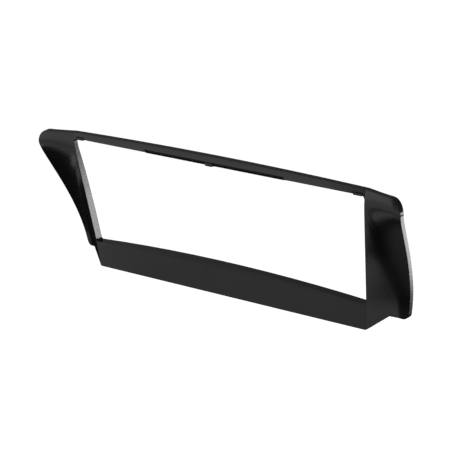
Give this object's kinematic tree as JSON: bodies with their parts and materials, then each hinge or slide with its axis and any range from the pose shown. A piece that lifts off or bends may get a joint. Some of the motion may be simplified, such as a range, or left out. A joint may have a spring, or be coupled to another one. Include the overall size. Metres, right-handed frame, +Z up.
{
  "type": "car radio mounting frame",
  "caption": "Moulded dashboard surround with a tapered opening for a slot-in radio, flat ears, swept-back side wings and a deep lower bar.",
  "frame": {"origin": "middle of the radio opening, in the plane of its front edge", "axes": "+X to the right seen from the driver's side, +Y into the dashboard, +Z up"},
  "size_m": [0.244, 0.0164, 0.0726],
  "materials": {
    "black_plastic": "satin, fine moulded grain"
  },
  "bodies": {
    "root": {"mounting_frame": "black_plastic"}
  },
  "joints": []
}
